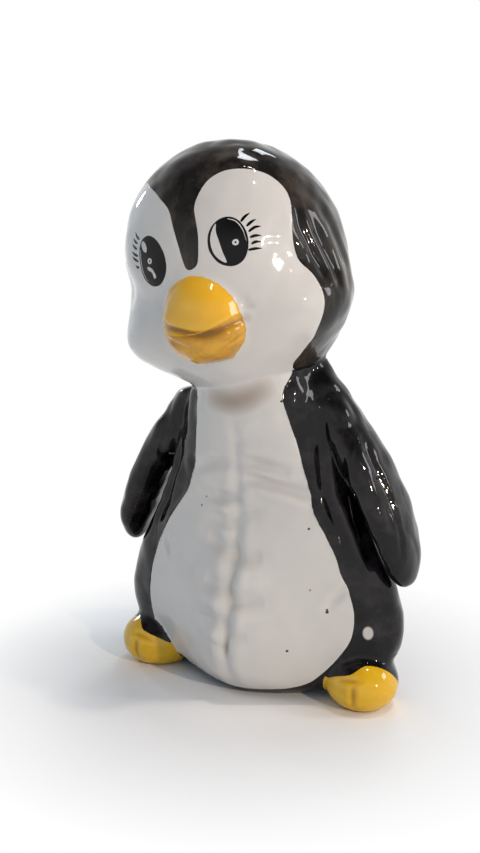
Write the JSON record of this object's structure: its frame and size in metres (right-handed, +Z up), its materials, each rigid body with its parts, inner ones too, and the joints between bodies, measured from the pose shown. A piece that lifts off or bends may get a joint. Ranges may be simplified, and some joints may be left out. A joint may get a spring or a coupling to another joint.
{
  "type": "penguin figurine",
  "caption": "Hollow glazed ceramic penguin that stands flat on its base, shaped like a stuffed toy with a tilted head, puffed belly, wings and toe caps, as a shelf ornament",
  "frame": {"origin": "Centre of the bounding box, at the level of the flat base that the figurine stands on", "axes": "+Z up, the face and belly look along -Y, the penguin's own left side is +X"},
  "size_m": [0.1386, 0.0982, 0.2281],
  "materials": {
    "black_glaze": "high-gloss brown-black glaze over moulded folds",
    "white_glaze": "high-gloss warm white glaze, thinner over ridges",
    "yellow_glaze": "high-gloss yellow glaze with ochre in the hollows",
    "black_paint": "hand-brushed black underglaze under a clear gloss glaze",
    "eye_white_paint": "hand-brushed white under a clear gloss glaze"
  },
  "bodies": {
    "root": {"torso": "black_glaze", "head": "black_glaze", "belly_panel": "white_glaze", "face_panel": "white_glaze", "upper_bill": "yellow_glaze", "lower_bill": "yellow_glaze", "left_wing": "black_glaze", "left_leg": "black_glaze", "left_toe_cap": "yellow_glaze", "left_eye_white": "eye_white_paint", "left_iris": "black_paint", "left_glint": "eye_white_paint", "left_lashes": "black_paint", "right_wing": "black_glaze", "right_leg": "black_glaze", "right_toe_cap": "yellow_glaze", "right_eye_white": "eye_white_paint", "right_iris": "black_paint", "right_glint": "eye_white_paint", "right_lashes": "black_paint"}
  },
  "joints": []
}
